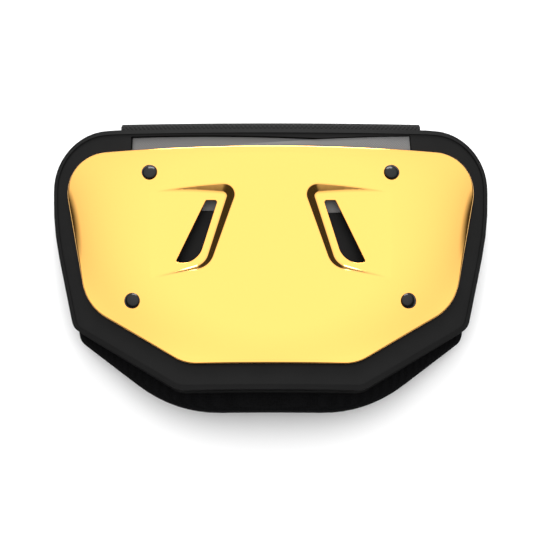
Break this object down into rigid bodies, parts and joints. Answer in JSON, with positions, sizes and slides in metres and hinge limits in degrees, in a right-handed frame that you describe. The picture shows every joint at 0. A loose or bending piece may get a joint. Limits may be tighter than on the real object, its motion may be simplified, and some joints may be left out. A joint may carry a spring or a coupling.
{
  "type": "football back plate",
  "caption": "Curved two-layer foam pad with a vented, crowned hard plate riveted over crossed webbing straps, and a woven band folded over the top edge.",
  "frame": {"origin": "on the surface that the plate lies on, under the middle of its bounding box", "axes": "+X across the wearer's back, +Y up to the edge with the webbing band, +Z out of the hard plate, away from the wearer"},
  "size_m": [0.3088, 0.2106, 0.0563],
  "materials": {
    "plate_gold": "moulded plastic with a metallised golden-yellow mirror coat",
    "moulded_foam": "matte black skin of moulded closed-cell foam",
    "fabric_foam": "black knitted mesh cover over foam",
    "band_webbing": "black coarse woven webbing",
    "strap_webbing": "dark grey smooth woven webbing",
    "rivet_black": "gloss black domed caps"
  },
  "bodies": {
    "root": {"hard_plate": "plate_gold", "front_pad": "moulded_foam", "rear_pad": "fabric_foam", "top_band": "band_webbing", "strap_left": "strap_webbing", "strap_right": "strap_webbing", "rivet_upper_left": "rivet_black", "rivet_upper_right": "rivet_black", "rivet_lower_left": "rivet_black", "rivet_lower_right": "rivet_black"}
  },
  "joints": []
}
